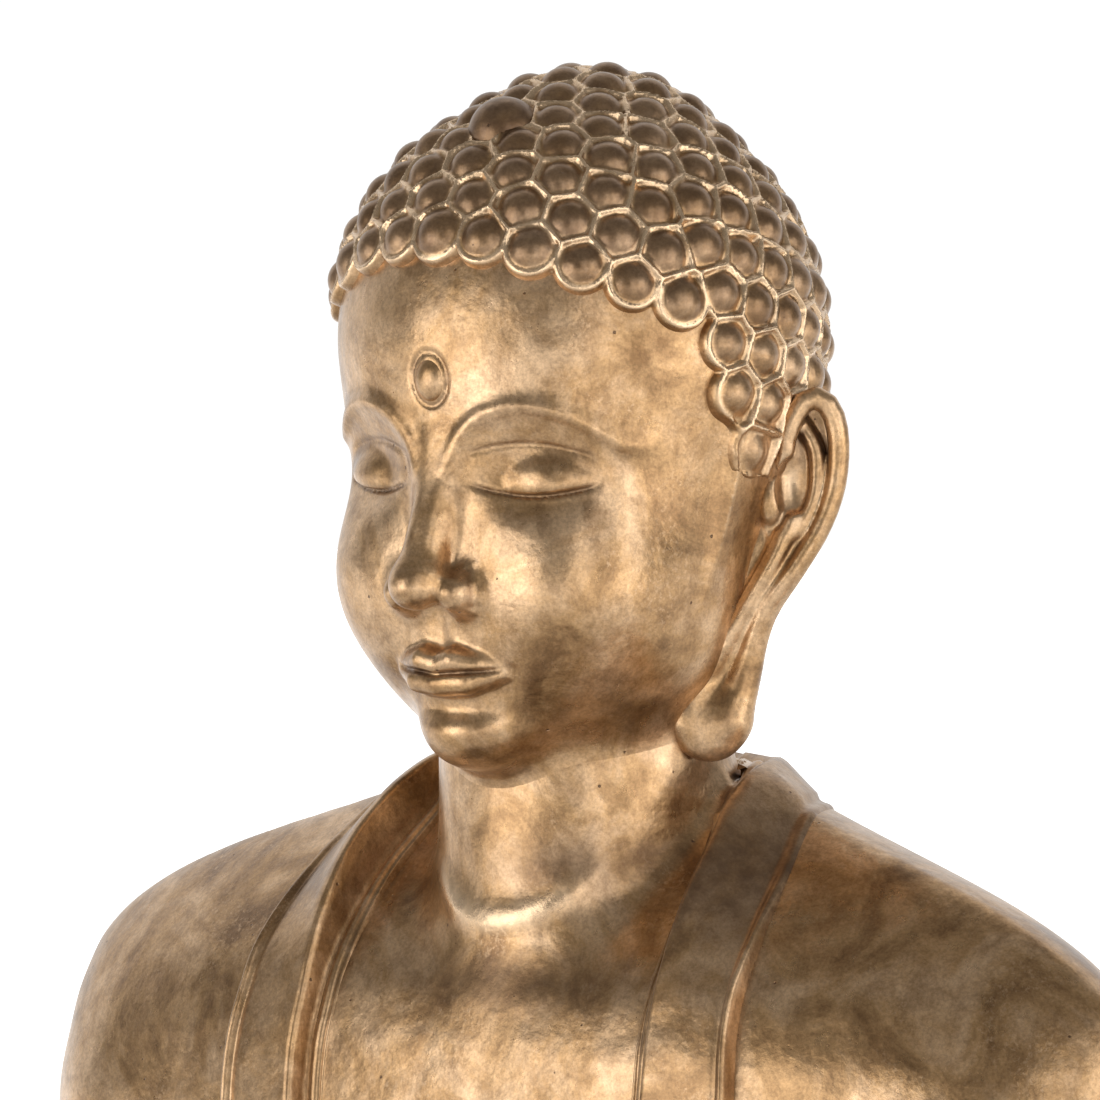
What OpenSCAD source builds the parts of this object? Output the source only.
// Seated meditating figure in cast brass: a hollow head, chest and lap stacked on a tie rod,
// with a two-piece robe, collar bands, sleeves, hands, ears and hair fitted on the outside.
// Millimetres. The figure faces -Y, its left hand is on +X, and z = 0 is the table.

/* [Head] */
// Height of the middle of the skull above the table
head_z = 526; // [522:1:530]
// How far the middle of the skull sits behind the middle of the base
head_y = 44; // [40:1:46]
// Radius of the skull casting under the hair
skull_r = 62.4; // [62:0.1:63]
// Radius of the neck column
neck_r = 40; // [38:0.5:41]
// Wall of the head casting at the neck
head_wall = 5; // [4:0.5:6]
// How far the tip of the nose stands out of the face
nose_out = 14; // [8:0.5:16]

/* [Hair] */
// Thickness of the cap that carries the curls
cap_wall = 2.6; // [2:0.1:4]
// Radius of one curl
curl_r = 6.4; // [5:0.1:6.5]
// Height of one curl above the cap
curl_h = 4.5; // [3:0.1:5]
// Distance between neighbouring curls
curl_pitch = 13.2; // [13:0.1:15]
// Radius of the crown mound where it meets the cap
crown_r = 32; // [28:1:34]
// Height of the crown mound above the cap
crown_h = 7; // [5:0.5:9]
// Radius of the round jewel in front of the crown mound
jewel_r = 9.5; // [8:0.5:10]

/* [Torso] */
// Wall of the chest casting
chest_wall = 4.5; // [4:0.5:6]
// Wall of the robe casting
robe_wall = 5; // [4:0.5:6]
// How far the collar band stands out of the robe
collar_out = 3.5; // [2:0.5:5]
// Angle taken up by the collar band beside the opening
collar_angle = 9; // [8:0.5:12]

/* [Lap and hands] */
// Half of the width from knee to knee
lap_half_w = 235; // [230:1:240]
// Half of the depth from shins to seat
lap_half_d = 165; // [165:1:170]
// Height of the waist, where the chest stands on the lap
waist_z = 125; // [122:1:128]
// Wall of the lap casting
lap_wall = 6; // [5:0.5:7]
// Radius of a finger at its root
finger_r = 8; // [7:0.5:9]

/* [Hardware and base] */
// Diameter of the tie rod
rod_d = 10; // [8:1:12]
// Thickness of the closing plate
plate_t = 3; // [2:0.5:3]
// Thickness of the felt under the plate
felt_t = 2; // [1:0.5:2]
// Number of screws that hold the plate
plate_screws = 6; // [4:1:8]

/* [Hidden] */
$fn = 48;

bronze = [0.62, 0.46, 0.28];
dark_bronze = [0.38, 0.26, 0.16];
steel = [0.62, 0.63, 0.65];
felt_colour = [0.12, 0.22, 0.16];

neck_y = head_y + 4;
base_z = plate_t + felt_t;
cap_r = skull_r + cap_wall;
neck_rise = 0.12;        // least spacing of the rings that meet the neck line, as a share
nape_z = -84;            // lowest edge of the hair, below the middle of the skull
nape_bend_r = 216;       // radius of the bend that carries the hair down to the nape
crown_tilt = 14;         // the crown mound leans this far back
jewel_tilt = 30.6;       // the jewel leans this far forward
hair_top_z = 24;         // the hairline over the forehead, above the middle of the skull
temple_z = 10;           // the hairline's corner at the temple
temple_x = 59;
// Front edge of the hair seen from the side, from behind the ear up to the temple: y and z
side_line = [[16, -60], [8, -38], [-16, -34], [-23, -7], [-26, temple_z], [-30, hair_top_z]];
rod_top = head_z + 57;
rod_bottom = waist_z - 16;
crown_rim_z = head_z + 40;
crown_rim_r = 36;
rod_r = rod_d / 2;

// Outline of the clothed torso: height, half width, depth in front, depth behind and middle
torso = [
    [waist_z, 128, 90, 90, 72],
    [165, 131, 84, 84, 68],
    [205, 138, 77, 80, 62],
    [245, 149, 70, 81, 56],
    [285, 163, 66, 79, 55],
    [315, 174, 61, 76, 53],
    [338, 176, 56, 73, 51],
    [354, 170, 50, 70, 49.5],
    [365, 158, 44, 66, 48],
    [376, 139, 37, 61, 47],
    [386, 114, 31, 56, 48],
    [395, 88, 28, 50, 50],
    [405, 62, 28, 43, 52]
];
torso_top = torso[len(torso) - 1][0];
// Edge of the robe's opening: height and angle from the front
opening = [
    [waist_z, 12], [205, 14], [285, 16.5], [322, 17.5], [354, 18.5], [376, 22.5], [386, 30],
    [395, 46], [torso_top, 80]
];
// Rise of the lap from the floor to the waist: share of the way inwards, and height
lap_rise = [
    [0.03, base_z], [0, 18], [0, 42], [0.05, 64], [0.14, 84], [0.3, 100], [0.5, 111],
    [0.75, 119], [1, waist_z]
];
// The head from the neck to the crown: height, half width, front and back
head_rings = [
    [384, 40, 40, 40], [396, 40.5, 42, 40], [402, 41, 47, 40], [407, 42, 53, 40],
    [411, 43.5, 58, 40.4], [416, 45.5, 61, 41], [421, 47, 62.5, 41.5], [426, 48.5, 62.5, 42],
    [430, 49.6, 61.5, 42.8], [433, 50.4, 62, 43.4], [436, 51.2, 63, 44], [439, 52, 62.8, 44.6],
    [442, 52.8, 63.4, 45], [446, 53.6, 63, 46], [450, 54.4, 63, 47], [454, 55.2, 63, 48],
    [459, 56, 63, 50], [464, 56.8, 62.8, 52], [469, 57.5, 62.5, 53.5], [474, 58.2, 62.3, 55],
    [479, 58.7, 62, 56.5], [484, 59.2, 61.8, 57.5], [488, 59.4, 61.6, 58.3],
    [492, 59.6, 61.6, 59], [496, 60, 61.8, 59.6], [501, 60.6, 62.6, 60.3],
    [506, 61, 63.6, 61], [511, 61.5, 64.2, 61.5], [518, 62, 64.4, 62], [526, 62.2, 64, 62.2],
    [536, 61.4, 62, 61.4], [546, 59, 59.2, 59], [554, 55.6, 55.6, 55.6], [561, 51.4, 51.4, 51.4],
    [566, 47.6, 47.6, 47.6]
];

function smooth(t) = let (c = min(1, max(0, t))) c * c * (3 - 2 * c);
function mix(a, b, t) = a + (b - a) * t;
function bump(t) = exp(-t * t);
function column(rows, z, k) = lookup(z, [for (s = rows) [s[0], s[k]]]);

// Columns shared by every casting: the bare front first, then the robe round to the back seam
bare_cols = 11;
robe_cols = 12;
half_cols = bare_cols + robe_cols;
hem_cols = 1;
band_cols = 2;
robe_first = bare_cols;

function opening_angle(z) = lookup(z, opening);
function hem_angle(z) = mix(2.5, 6, smooth((z - 370) / 30));
// Angle of column i at height z, from the front round to the back
function column_angle(i, z) =
    let (edge = opening_angle(z), hem = edge + hem_angle(z), band = hem + collar_angle)
    i <= bare_cols ? edge * pow(i / bare_cols, 1.25) :
    i == bare_cols + hem_cols ? hem :
    i == bare_cols + hem_cols + 1 ? mix(hem, band, 0.5) :
    i == bare_cols + hem_cols + band_cols ? band :
    mix(band, 180, (i - bare_cols - hem_cols - band_cols) / (robe_cols - hem_cols - band_cols));

// Height of row r in column i: the bare front stops below the neck
function row_z(r, i) =
    let (z = torso[r][0])
    i >= bare_cols ? z :
    waist_z + (z - waist_z) * mix(0.842, 1, (neck_line_z(i) - 366) / 45);

// A point of the torso's surface, sunk by the given depth
function torso_point(angle, z, depth) =
    let (
        slope = (column(torso, z + 3, 1) - column(torso, z - 3, 1)) / 6,
        lean = sqrt(1 + slope * slope),
        side = depth / lean,
        down = -depth * slope / lean * smooth((z - waist_z) / 30)
    )
    [
        (column(torso, z, 1) - side) * sin(angle),
        column(torso, z, 4) - (column(torso, z, angle < 90 ? 2 : 3) - side) * cos(angle),
        z - down
    ];

// The robe and the chest on one side, as rows of points from column first to column last
function torso_rows(first, last, side, depth) = [
    for (r = [0 : len(torso) - 1]) [
        for (i = [first : last])
            let (p = torso_point(column_angle(i, row_z(r, i)), row_z(r, i), depth))
            [side * p[0], p[1], p[2]]
    ]
];

// A whole ring from its left half, seen from above and counted from the back
function closed_ring(half) = concat(
    half,
    [for (i = [len(half) - 2 : -1 : 1]) [-half[i][0], half[i][1], half[i][2]]]
);

// The line where the head casting stands on the chest casting
function neck_line_z(i) =
    mix(366, 411, smooth((column_angle(min(i, bare_cols), torso_top) - 12) / 68));
function neck_ring(r) = closed_ring([
    for (i = [0 : half_cols])
        let (a = column_angle(i, torso_top))
        [r * sin(a), neck_y - r * cos(a), neck_line_z(i)]
]);

// ---- closed bodies from rows of points ----

function quad(a, b, c, d) = [[a, b, c], [a, c, d]];
function flat(list) = [for (a = list) for (b = a) b];

// Faces of one skin of closed rings, n points to a ring, starting at point start
function skin_faces(rings, n, start, out) = flat([
    for (r = [0 : rings - 2]) for (i = [0 : n - 1])
        let (
            a = start + r * n + i,
            b = start + r * n + (i + 1) % n
        )
        out ? quad(a, a + n, b + n, b) : quad(a, b, b + n, a + n)
]);

// A hollow casting open at both ends, from its outer and inner rings
module ring_casting(outer, inner) {
    n = len(outer[0]);
    second = len(outer) * n;
    top = second - n;
    inner_top = second + (len(inner) - 1) * n;
    rims = flat([
        for (i = [0 : n - 1])
            let (j = (i + 1) % n)
            concat(
                quad(i, j, second + j, second + i),
                quad(top + j, top + i, inner_top + i, inner_top + j)
            )
    ]);
    polyhedron(
        points = concat(flat(outer), flat(inner)),
        faces = concat(
            skin_faces(len(outer), n, 0, true),
            skin_faces(len(inner), n, second, false),
            rims
        ),
        convexity = 8
    );
}

// The same rings filled solid, for cutting neighbours to fit
module ring_solid(rings) {
    n = len(rings[0]);
    last = (len(rings) - 1) * n;
    polyhedron(
        points = flat(rings),
        faces = concat(
            skin_faces(len(rings), n, 0, true),
            [[for (i = [0 : n - 1]) i]],
            [[for (i = [n - 1 : -1 : 0]) last + i]]
        ),
        convexity = 8
    );
}

// Cell (r, i) of a sheet is kept when it lies in the collar, or always for a full sheet
function kept(r, i, rows, cols, collar) =
    r >= 0 && i >= 0 && r < rows - 1 && i < cols - 1 &&
    (!collar || (i >= hem_cols && i < hem_cols + band_cols) || (r >= rows - 2 && i >= hem_cols));

// Side walls round the kept cells of a sheet
function sheet_walls(rows, cols, collar) = let (m = rows * cols) flat([
    for (r = [0 : rows - 2]) for (i = [0 : cols - 2]) if (kept(r, i, rows, cols, collar))
        let (
            a = r * cols + i,
            b = a + 1,
            c = b + cols,
            d = a + cols
        )
        concat(
            kept(r - 1, i, rows, cols, collar) ? [] : quad(a, b, b + m, a + m),
            kept(r + 1, i, rows, cols, collar) ? [] : quad(c, d, d + m, c + m),
            kept(r, i - 1, rows, cols, collar) ? [] : quad(d, a, a + m, d + m),
            kept(r, i + 1, rows, cols, collar) ? [] : quad(b, c, c + m, b + m)
        )
]);

// A bent sheet with a thickness, from its outer and inner points
module sheet(outer, inner, collar = false, flip = false) {
    rows = len(outer);
    cols = len(outer[0]);
    m = rows * cols;
    skins = flat([
        for (r = [0 : rows - 2]) for (i = [0 : cols - 2]) if (kept(r, i, rows, cols, collar))
            let (a = r * cols + i)
            concat(
                quad(a, a + cols, a + cols + 1, a + 1),
                quad(a + m, a + 1 + m, a + cols + 1 + m, a + cols + m)
            )
    ]);
    faces = concat(skins, sheet_walls(rows, cols, collar));
    polyhedron(
        points = concat(flat(outer), flat(inner)),
        faces = flip ? [for (f = faces) [f[2], f[1], f[0]]] : faces,
        convexity = 8
    );
}

// A tapering limb through [position, radius] stops
module limb(stops, shrink = 0) {
    for (i = [0 : len(stops) - 2]) {
        hull() {
            translate(stops[i][0]) sphere(stops[i][1] - shrink);
            translate(stops[i + 1][0]) sphere(stops[i + 1][1] - shrink);
        }
    }
}

// ---- head ----

// Raised and hollowed features of a plain face, in millimetres outwards
function face_relief(x, z) =
    let (
        ax = abs(x),
        nose = smooth((502 - z) / 44) * smooth((z - 449) / 6),
        nose_w = mix(5.5, 10.5, smooth((492 - z) / 38)),
        brow_line = 509 + 3 * (1 - pow((ax - 24) / 22, 2))
    )
    nose_out * nose * bump(x / nose_w)
    - 5 * bump((ax - 21) / 15) * bump((z - 496) / 8)
    + 3.4 * bump((ax - 25) / 13) * bump((z - 489) / 6)
    + 1.6 * bump((ax - 24) / 20) * bump((z - brow_line) / 4)
    + 3.2 * bump(x / 14) * bump((z - 442) / 3.2)
    + 3.6 * bump(x / 12) * bump((z - 434) / 3.4)
    - 1.6 * bump(x / 16) * bump((z - 438.2) / 1.6)
    + 2.5 * bump(x / 15) * bump((z - 420) / 8);

// Radius of the skull's back at height z above the skull's middle
function nape_radius(h) = h >= 0 ?
    sqrt(max(1, skull_r * skull_r - h * h)) :
    skull_r - nape_bend_r + cap_wall + sqrt(pow(nape_bend_r - cap_wall, 2) - h * h) - cap_wall;

function head_point(ring, angle) =
    let (
        z = ring[0] + head_z - 526,
        y = mix(neck_y, head_y, smooth((ring[0] - 396) / 34)),
        depth = angle < 90 ? ring[2] : ring[3],
        plain = 1 / sqrt(pow(sin(angle) / ring[1], 2) + pow(cos(angle) / depth, 2)),
        r = angle > 95 ? min(plain, nape_radius(ring[0] - 526)) : plain,
        x = r * sin(angle),
        front = angle < 90 ? face_relief(x, ring[0]) * smooth((75 - angle) / 20) : 0
    )
    [x, y - r * cos(angle) - front, z];

head_outer = concat(
    [neck_ring(neck_r)],
    [for (ring = head_rings) if (ring[0] > 384) closed_ring([
        for (i = [0 : half_cols])
            let (p = head_point(ring, column_angle(i, torso_top)))
            [p[0], p[1], max(p[2], neck_line_z(i) + neck_rise * (ring[0] - head_rings[0][0]))]
    ])]
);

// The inside of the head: the neck's bore, then a cavity that follows the skull
head_bore = [
    [440, 1], [452, 1.12], [470, 1.38], [495, 1.5], [520, 1.54], [545, 1.4], [558, 1.2]
];
bore_r = neck_r - head_wall;
head_inner = concat(
    [neck_ring(bore_r)],
    [for (ring = head_bore) closed_ring([
        for (i = [0 : half_cols])
            let (a = column_angle(i, torso_top))
            [
                bore_r * ring[1] * sin(a),
                mix(neck_y, head_y, smooth((ring[0] - 440) / 40)) - bore_r * ring[1] * cos(a),
                ring[0] + head_z - 526
            ]
    ])],
    [closed_ring([
        for (i = [0 : half_cols])
            let (a = column_angle(i, torso_top))
            [crown_rim_r * sin(a), head_y - crown_rim_r * cos(a), crown_rim_z]
    ])]
);

module head_shell() {
    color(bronze) ring_casting(head_outer, head_inner);
}

module urna() {
    color(bronze)
    translate([0, head_y - 65.4, head_z - 9])
    rotate([90, 0, 0])
    difference() {
        translate([0, 0, -3]) sphere(6.7);
        translate([-10, -10, -20]) cube(20);
    }
}

// ---- hair ----

// Half of the hair's section, revolved: a round skull with a bend down to the nape
module hair_profile(grow) {
    intersection() {
        circle(cap_r + grow);
        square(2 * cap_r);
    }
    intersection() {
        translate([cap_r - nape_bend_r, 0]) circle(nape_bend_r + grow);
        translate([0, nape_z]) square([2 * cap_r, -nape_z]);
    }
}

module hair_form(grow) {
    translate([0, head_y, head_z]) rotate_extrude() hair_profile(grow);
}

// The part of the cap that is cut away for the face, between the temples
module face_opening() {
    translate([0, head_y, head_z])
    intersection() {
        rotate([90, 0, 0])
        linear_extrude(height = 90)
        polygon(concat(
            [[-80, nape_z - 6], [80, nape_z - 6], [80, temple_z]],
            [for (x = [temple_x : -temple_x / 6 : -temple_x]) [x, hairline_z(x)]],
            [[-80, temple_z]]
        ));
        rotate([90, 0, 90])
        linear_extrude(height = 180, center = true)
        polygon(concat([[-95, nape_z - 6], [16, nape_z - 6]], side_line, [[-30, 60], [-95, 60]]));
    }
}

function hairline_z(x) = hair_top_z - (hair_top_z - temple_z) * pow(x / temple_x, 2);
function side_line_y(z) = lookup(z, [for (p = side_line) [p[1], p[0]]]);

module hair_cap() {
    color(dark_bronze)
    difference() {
        hair_form(0);
        hair_form(-cap_wall);
        face_opening();
        translate([0, head_y, head_z + nape_z - 10]) cylinder(r = 60, h = 10);
    }
}

// One curl: a low dome with a flat back, standing on the XY plane
module curl() {
    rotate_extrude()
    intersection() {
        translate([0, curl_h - curl_r]) circle(curl_r);
        square([2 * curl_r, curl_h]);
    }
}

// Direction from the skull's middle, by angle from the tilted crown and turn round it
function tilted(a, turn) =
    let (x = sin(a) * sin(turn), y = -sin(a) * cos(turn), z = cos(a))
    [x, y * cos(crown_tilt) + z * sin(crown_tilt), -y * sin(crown_tilt) + z * cos(crown_tilt)];

// Where a direction leaves the cap
function cap_reach(d) =
    let (s = sqrt(d[0] * d[0] + d[1] * d[1]), back = nape_bend_r - cap_r)
    d[2] >= 0 ? cap_r : -back * s + sqrt(back * back * (s * s - 1) + nape_bend_r * nape_bend_r);

function on_face(p) =
    p[1] < side_line_y(p[2]) + 0.8 * curl_r && p[2] < hairline_z(p[0]) + 0.8 * curl_r;
function by_ear(p) = abs(p[0]) > 40 && p[2] < 0 && p[1] > -10 && p[1] < 32;
function by_jewel(p) =
    norm(p - cap_r * [0, -sin(jewel_tilt), cos(jewel_tilt)]) < jewel_r + curl_r;

module stand_on(p, normal) {
    translate([0, head_y, head_z])
    translate(p)
    rotate([0, acos(normal[2]), atan2(normal[1], normal[0])])
    children();
}

module hair_curls() {
    row_step = curl_pitch / cap_r * 180 / PI;
    color(dark_bronze)
    for (row = [0 : 8]) {
        a = 36 + row * row_step;
        count = floor(2 * PI * cap_r * sin(min(a, 110)) / curl_pitch);
        for (k = [0 : count - 1]) {
            d = tilted(a, (k + (row % 2) / 2) * 360 / count);
            p = d * cap_reach(d);
            out = [p[0], p[1], 0] / norm([p[0], p[1], 0.001]);
            normal = p[2] >= 0 ? p : p + (nape_bend_r - cap_r) * out;
            if (!on_face(p) && !by_ear(p) && !by_jewel(p) && p[2] > nape_z + curl_r) {
                stand_on(p, normal / norm(normal)) curl();
            }
        }
    }
}

crown_low = sqrt(cap_r * cap_r - crown_r * crown_r);
crown_rise = cap_r + crown_h - crown_low;
crown_ball = (crown_r * crown_r + crown_rise * crown_rise) / (2 * crown_rise);
crown_mid = cap_r + crown_h - crown_ball;
crown_foot_z = crown_low - 3;

module crown_frame() {
    translate([0, head_y, head_z]) rotate([-crown_tilt, 0, 0]) children();
}

module crown_mound() {
    color(dark_bronze)
    crown_frame()
    difference() {
        translate([0, 0, crown_mid]) sphere(crown_ball);
        sphere(cap_r);
        translate([-70, -70, crown_foot_z - 80]) cube([140, 140, 80]);
    }
}

module crown_curls() {
    color(dark_bronze)
    crown_frame()
    translate([0, 0, crown_mid])
    for (row = [0 : 2]) {
        a = row * 18;
        count = row == 0 ? 1 : floor(2 * PI * crown_ball * sin(a) / curl_pitch);
        for (k = [0 : count - 1]) {
            rotate([0, 0, (k + 0.5) * 360 / count])
            rotate([0, a, 0])
            translate([0, 0, crown_ball])
            curl();
        }
    }
}

module hair_jewel() {
    color(bronze)
    translate([0, head_y, head_z])
    difference() {
        rotate([jewel_tilt, 0, 0]) translate([0, 0, cap_r + 1]) sphere(jewel_r);
        sphere(cap_r);
        rotate([-crown_tilt, 0, 0]) translate([0, 0, crown_mid]) sphere(crown_ball);
    }
}

// ---- ears ----

module ear_form() {
    $fn = 10;
    rim = [
        [[62, 47, 497], 4], [[67, 50, 508], 4.4], [[73, 58, 513], 4.4], [[77, 66, 505], 4.4],
        [[77, 69, 492], 4.4], [[74, 66, 476], 4.6], [[67, 60, 458], 5], [[60, 52, 441], 6],
        [[55, 44, 425], 8]
    ];
    front = [
        [[62, 47, 497], 4], [[61, 43, 478], 4], [[57, 38, 458], 4], [[53, 33, 438], 4.5],
        [[52, 34, 424], 7]
    ];
    limb(rim);
    limb(front);
    hull() {
        for (p = [[62, 52, 500], [72, 63, 500], [72, 64, 484], [60, 52, 462], [60, 46, 480]]) {
            translate(p) sphere(3);
        }
    }
    hull() {
        for (p = [[62, 50, 462], [57, 42, 460], [53, 38, 430], [55, 42, 428]]) {
            translate(p) sphere(4);
        }
    }
}

module left_ear() {
    color(bronze)
    render()
    difference() {
        translate([0, head_y - 44, head_z - 526]) ear_form();
        ring_solid(head_outer);
        hair_form(0.15);
    }
}

module right_ear() {
    color(bronze)
    render()
    difference() {
        translate([0, head_y - 44, head_z - 526]) mirror([1, 0, 0]) ear_form();
        ring_solid(head_outer);
        hair_form(0.15);
    }
}

// ---- neck, chest and robe ----

// Ring that lines up the head and the chest inside the neck
module neck_sleeve() {
    a = [for (i = [0 : half_cols]) column_angle(i, torso_top)];
    half = [for (t = a) [sin(t), -cos(t)]];
    ring = concat(half, [for (i = [half_cols - 1 : -1 : 1]) [-half[i][0], half[i][1]]]);
    color(steel)
    translate([0, neck_y, 378])
    linear_extrude(height = 54)
    difference() {
        polygon(ring * bore_r);
        circle(bore_r - 4);
    }
}

function chest_rings(depth, neck) = concat(
    [for (row = torso_rows(0, half_cols, 1, depth)) closed_ring(row)],
    [neck_ring(neck)]
);

module chest_shell() {
    color(bronze)
    ring_casting(
        chest_rings(robe_wall, neck_r),
        chest_rings(robe_wall + chest_wall, bore_r)
    );
}

module robe_half(side) {
    sheet(
        torso_rows(robe_first, half_cols, side, 0),
        torso_rows(robe_first, half_cols, side, robe_wall),
        flip = side < 0
    );
}

module collar_half(side) {
    sheet(
        torso_rows(robe_first, half_cols, side, -collar_out),
        torso_rows(robe_first, half_cols, side, 0),
        collar = true,
        flip = side < 0
    );
}

module robe_left() {
    color(bronze) robe_half(1);
}

module robe_right() {
    color(bronze) robe_half(-1);
}

module collar_left() {
    color(bronze) collar_half(1);
}

module collar_right() {
    color(bronze) collar_half(-1);
}

// ---- lap ----

function lap_power(c) = sign(c) * pow(abs(c), 0.8);
function lap_ring(step, inset) = closed_ring([
    for (i = [0 : 24])
        let (
            a = i * 180 / 24,
            t = step[0],
            dip = step[1] > 50 && step[1] < waist_z ? 10 * bump(a / 30) * (1 - t) : 0
        )
        [
            mix(lap_half_w * lap_power(sin(a)), 128 * sin(a), t) - inset * sin(a),
            mix(-lap_half_d * lap_power(cos(a)), 72 - 90 * cos(a), t) + inset * cos(a),
            step[1] - dip
        ]
]);

lap_outer = [for (step = lap_rise) lap_ring(step, 0)];
lap_inner = [
    for (k = [0 : len(lap_rise) - 1])
        let (step = lap_rise[k], top = k == len(lap_rise) - 1)
        lap_ring(top || k == 0 ? step : [step[0], step[1] - lap_wall * min(1, k / 3)],
            top ? 20 : lap_wall)
];

module lap_shell() {
    color(bronze) ring_casting(lap_outer, lap_inner);
}

// The torso and lap as plain solids, for cutting what rests on them
module body_form() {
    ring_solid([for (row = torso_rows(0, half_cols, 1, 0)) closed_ring(row)]);
    ring_solid(lap_outer);
}

// ---- arms, hands and foot ----

shoulder = [143, 50, 306];
upper_arm = [152, 48, 250];
elbow = [156, 40, 196];
forearm = [120, -28, 168];
cuff = [72, -66, 156];

module sleeve_form(shrink) {
    limb([
        [shoulder, 34], [upper_arm, 37], [elbow, 40], [forearm, 38], [cuff, 32]
    ], shrink);
    hull() {
        translate(elbow) sphere(40 - shrink);
        translate([150, 20, 140]) sphere(38 - shrink);
        translate([105, -40, 132]) sphere(30 - shrink);
        translate(forearm) sphere(38 - shrink);
    }
}

// A sleeve is hollow, and is cut clear of the body and the hand
module sleeve_left() {
    $fn = 18;
    color(bronze)
    render()
    difference() {
        sleeve_form(0);
        sleeve_form(7);
        body_form();
        left_hand_form(0.1);
    }
}

module sleeve_right() {
    $fn = 18;
    color(bronze)
    render()
    difference() {
        mirror([1, 0, 0]) sleeve_form(0);
        mirror([1, 0, 0]) sleeve_form(7);
        body_form();
        right_hand_form(0.1);
    }
}

// A cupped hand, palm up, with its wrist on +X and its fingers towards -X
module hand_form(grow) {
    $fn = 10;
    wrist = [74, 18, 6];
    hull() {
        translate([66, 14, 4]) sphere(15 + grow);
        translate(wrist) sphere(15 + grow);
    }
    hull() {
        translate([60, 16, 4]) sphere(14 + grow);
        for (y = [-20, 22]) {
            translate([8, y, 0]) sphere(9 + grow);
        }
    }
    for (i = [0 : 3]) {
        y = -22 + i * 14.5;
        reach = -44 - 7 * sin(60 * i + 20);
        limb([
            [[8, y, 0], finger_r + grow],
            [[-20, y, 1], finger_r - 0.6 + grow],
            [[reach, y + 1, 4], finger_r - 1.8 + grow]
        ]);
    }
    limb([
        [[50, -6, 8], 11 + grow], [[26, -18, 20], 8.5 + grow], [[8, -12, 30], 7 + grow]
    ]);
}

module left_hand_form(grow) {
    translate([2, -88, 132]) hand_form(grow);
}

module right_hand_form(grow) {
    translate([-2, -88, 146]) mirror([1, 0, 0]) hand_form(grow);
}

module left_hand() {
    color(bronze)
    render()
    difference() {
        left_hand_form(0);
        body_form();
    }
}

module right_hand() {
    color(bronze)
    render()
    difference() {
        right_hand_form(0);
        body_form();
        left_hand_form(0.05);
    }
}

// The right foot, resting sole up on the left thigh
module right_foot() {
    $fn = 10;
    heel = [66, -100, 106];
    ball = [150, -92, 84];
    color(bronze)
    render()
    difference() {
        union() {
            hull() {
                translate(heel) sphere(17);
                translate(ball + [0, 20, 4]) sphere(14);
                translate(ball + [-6, -22, 0]) sphere(14);
            }
            hull() {
                translate(ball + [0, 20, 4]) sphere(14);
                translate(ball + [-6, -22, 0]) sphere(14);
                translate(ball + [12, 0, -2]) sphere(11);
            }
            for (i = [0 : 4]) {
                limb([
                    [ball + [2, 24 - i * 11, 2], 9.5 - i * 0.6],
                    [ball + [16, 23 - i * 11, 0], 8.5 - i * 0.7],
                    [ball + [24 - i * 1.5, 22 - i * 11, -3], 7.5 - i * 0.7]
                ]);
            }
        }
        body_form();
        left_hand_form(0.1);
        sleeve_form(-0.2);
    }
}

// ---- tie rod and its bars ----

module tie_rod() {
    color(steel) translate([0, neck_y, rod_bottom]) cylinder(d = rod_d, h = rod_top - rod_bottom);
}

module hex_nut(bore, across, height) {
    difference() {
        cylinder(d = across / cos(30), h = height, $fn = 6);
        translate([0, 0, -1]) cylinder(d = bore, h = height + 2);
    }
}

module washer(bore, outside, height) {
    difference() {
        cylinder(d = outside, h = height);
        translate([0, 0, -1]) cylinder(d = bore, h = height + 2);
    }
}

bar_t = 5;
washer_t = 2;
nut_h = 8;

module rod_nuts() {
    color(steel)
    for (z = [crown_rim_z + bar_t + washer_t, waist_z - washer_t - nut_h]) {
        translate([0, neck_y, z]) hex_nut(rod_d, rod_d * 1.6, nut_h);
    }
}

module rod_washers() {
    color(steel)
    for (z = [crown_rim_z + bar_t, waist_z - washer_t]) {
        translate([0, neck_y, z]) washer(rod_d, rod_d * 2, washer_t);
    }
}

module crown_bar() {
    color(steel)
    difference() {
        translate([-41, neck_y - 10, crown_rim_z]) cube([82, 20, bar_t]);
        translate([0, neck_y, crown_rim_z - 1]) cylinder(d = rod_d, h = bar_t + 2);
    }
}

waist_bar_half = 103;
bar_screw_x = 98;
bar_screw_d = 6;

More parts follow.
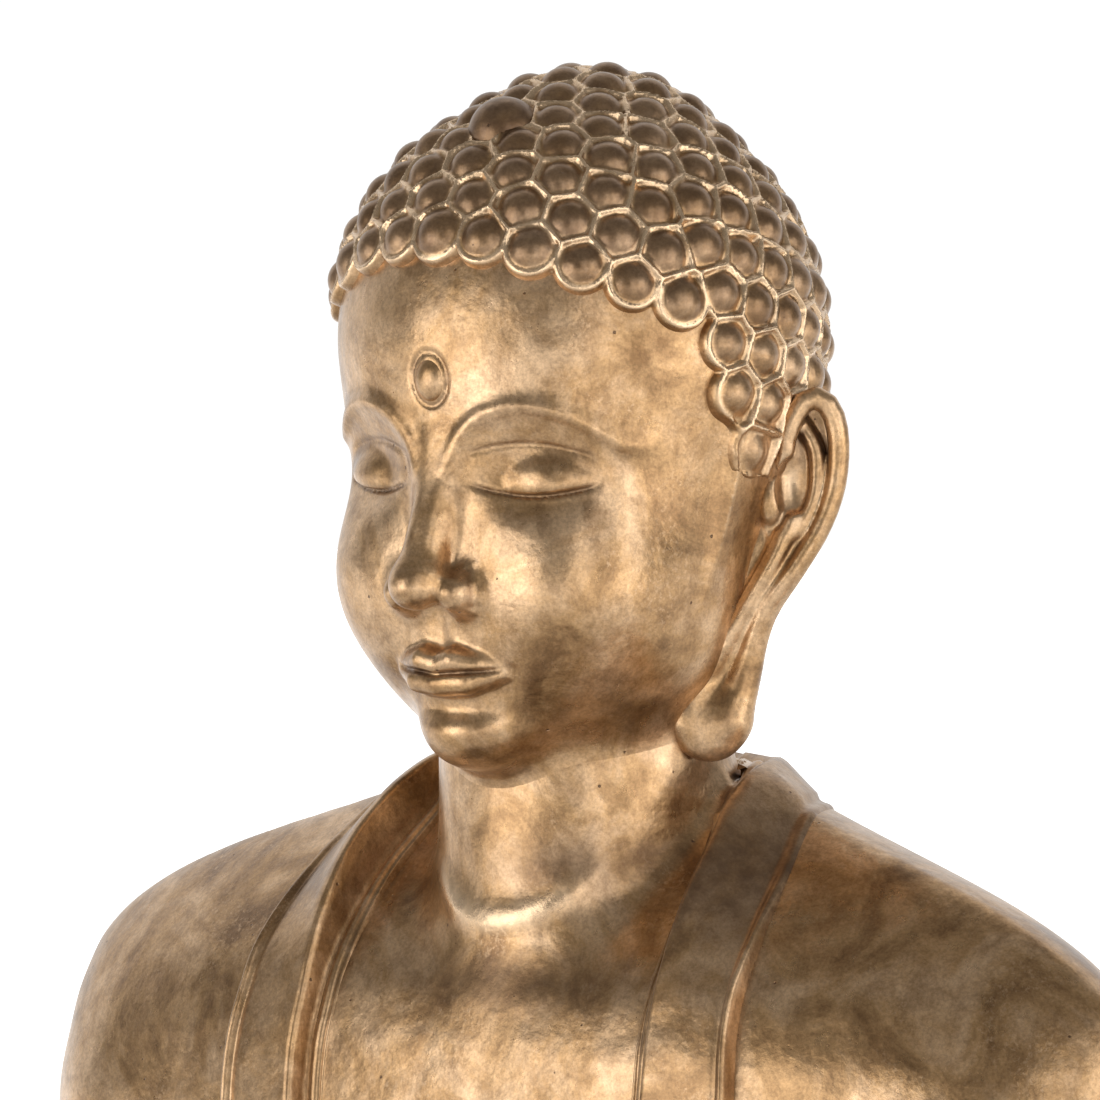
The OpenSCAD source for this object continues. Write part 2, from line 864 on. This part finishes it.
module waist_bar() {
    color(steel)
    difference() {
        translate([-waist_bar_half, neck_y - 12, waist_z]) cube([2 * waist_bar_half, 24, 8]);
        translate([0, neck_y, waist_z - 1]) cylinder(d = rod_d, h = 10);
        for (x = [-bar_screw_x, bar_screw_x]) {
            translate([x, neck_y, waist_z - 1]) cylinder(d = bar_screw_d, h = 10);
        }
    }
}

// Screws that hold the ends of the waist bar down on the lap's rim
module bar_screws() {
    color(steel)
    for (x = [-bar_screw_x, bar_screw_x]) {
        translate([x, neck_y, waist_z]) cylinder(d = bar_screw_d, h = 8);
        translate([x, neck_y, waist_z + 8]) cylinder(d = 9, h = 5);
    }
}

// ---- base ----

module base_outline(inset) {
    polygon([
        for (p = lap_ring([0.03, 0], inset)) [p[0], p[1]]
    ]);
}

module at_plate_screws() {
    for (k = [0 : plate_screws - 1]) {
        a = (k + 0.5) * 360 / plate_screws;
        translate([196 * lap_power(sin(a)), 4 - 128 * lap_power(cos(a)), 0]) children();
    }
}

module base_plate() {
    color(steel)
    difference() {
        translate([0, 0, felt_t]) linear_extrude(height = plate_t) base_outline(1);
        at_plate_screws() translate([0, 0, felt_t - 1]) cylinder(d = 5, h = plate_t + 2);
    }
}

module base_lugs() {
    color(bronze)
    at_plate_screws()
    difference() {
        translate([0, 0, base_z]) cylinder(r = 9, h = 16);
        translate([0, 0, base_z - 1]) cylinder(d = 5, h = 14);
    }
}

module base_screws() {
    color(steel)
    at_plate_screws() {
        translate([0, 0, felt_t]) cylinder(d = 5, h = plate_t + 10);
    }
}

module base_felt() {
    color(felt_colour) linear_extrude(height = felt_t) base_outline(3);
}

head_shell();
left_ear();
right_ear();
urna();
hair_cap();
hair_curls();
crown_mound();
crown_curls();
hair_jewel();
neck_sleeve();
chest_shell();
robe_left();
robe_right();
collar_left();
collar_right();
sleeve_left();
sleeve_right();
left_hand();
right_hand();
lap_shell();
right_foot();
tie_rod();
rod_nuts();
rod_washers();
crown_bar();
waist_bar();
bar_screws();
base_plate();
base_lugs();
base_screws();
base_felt();
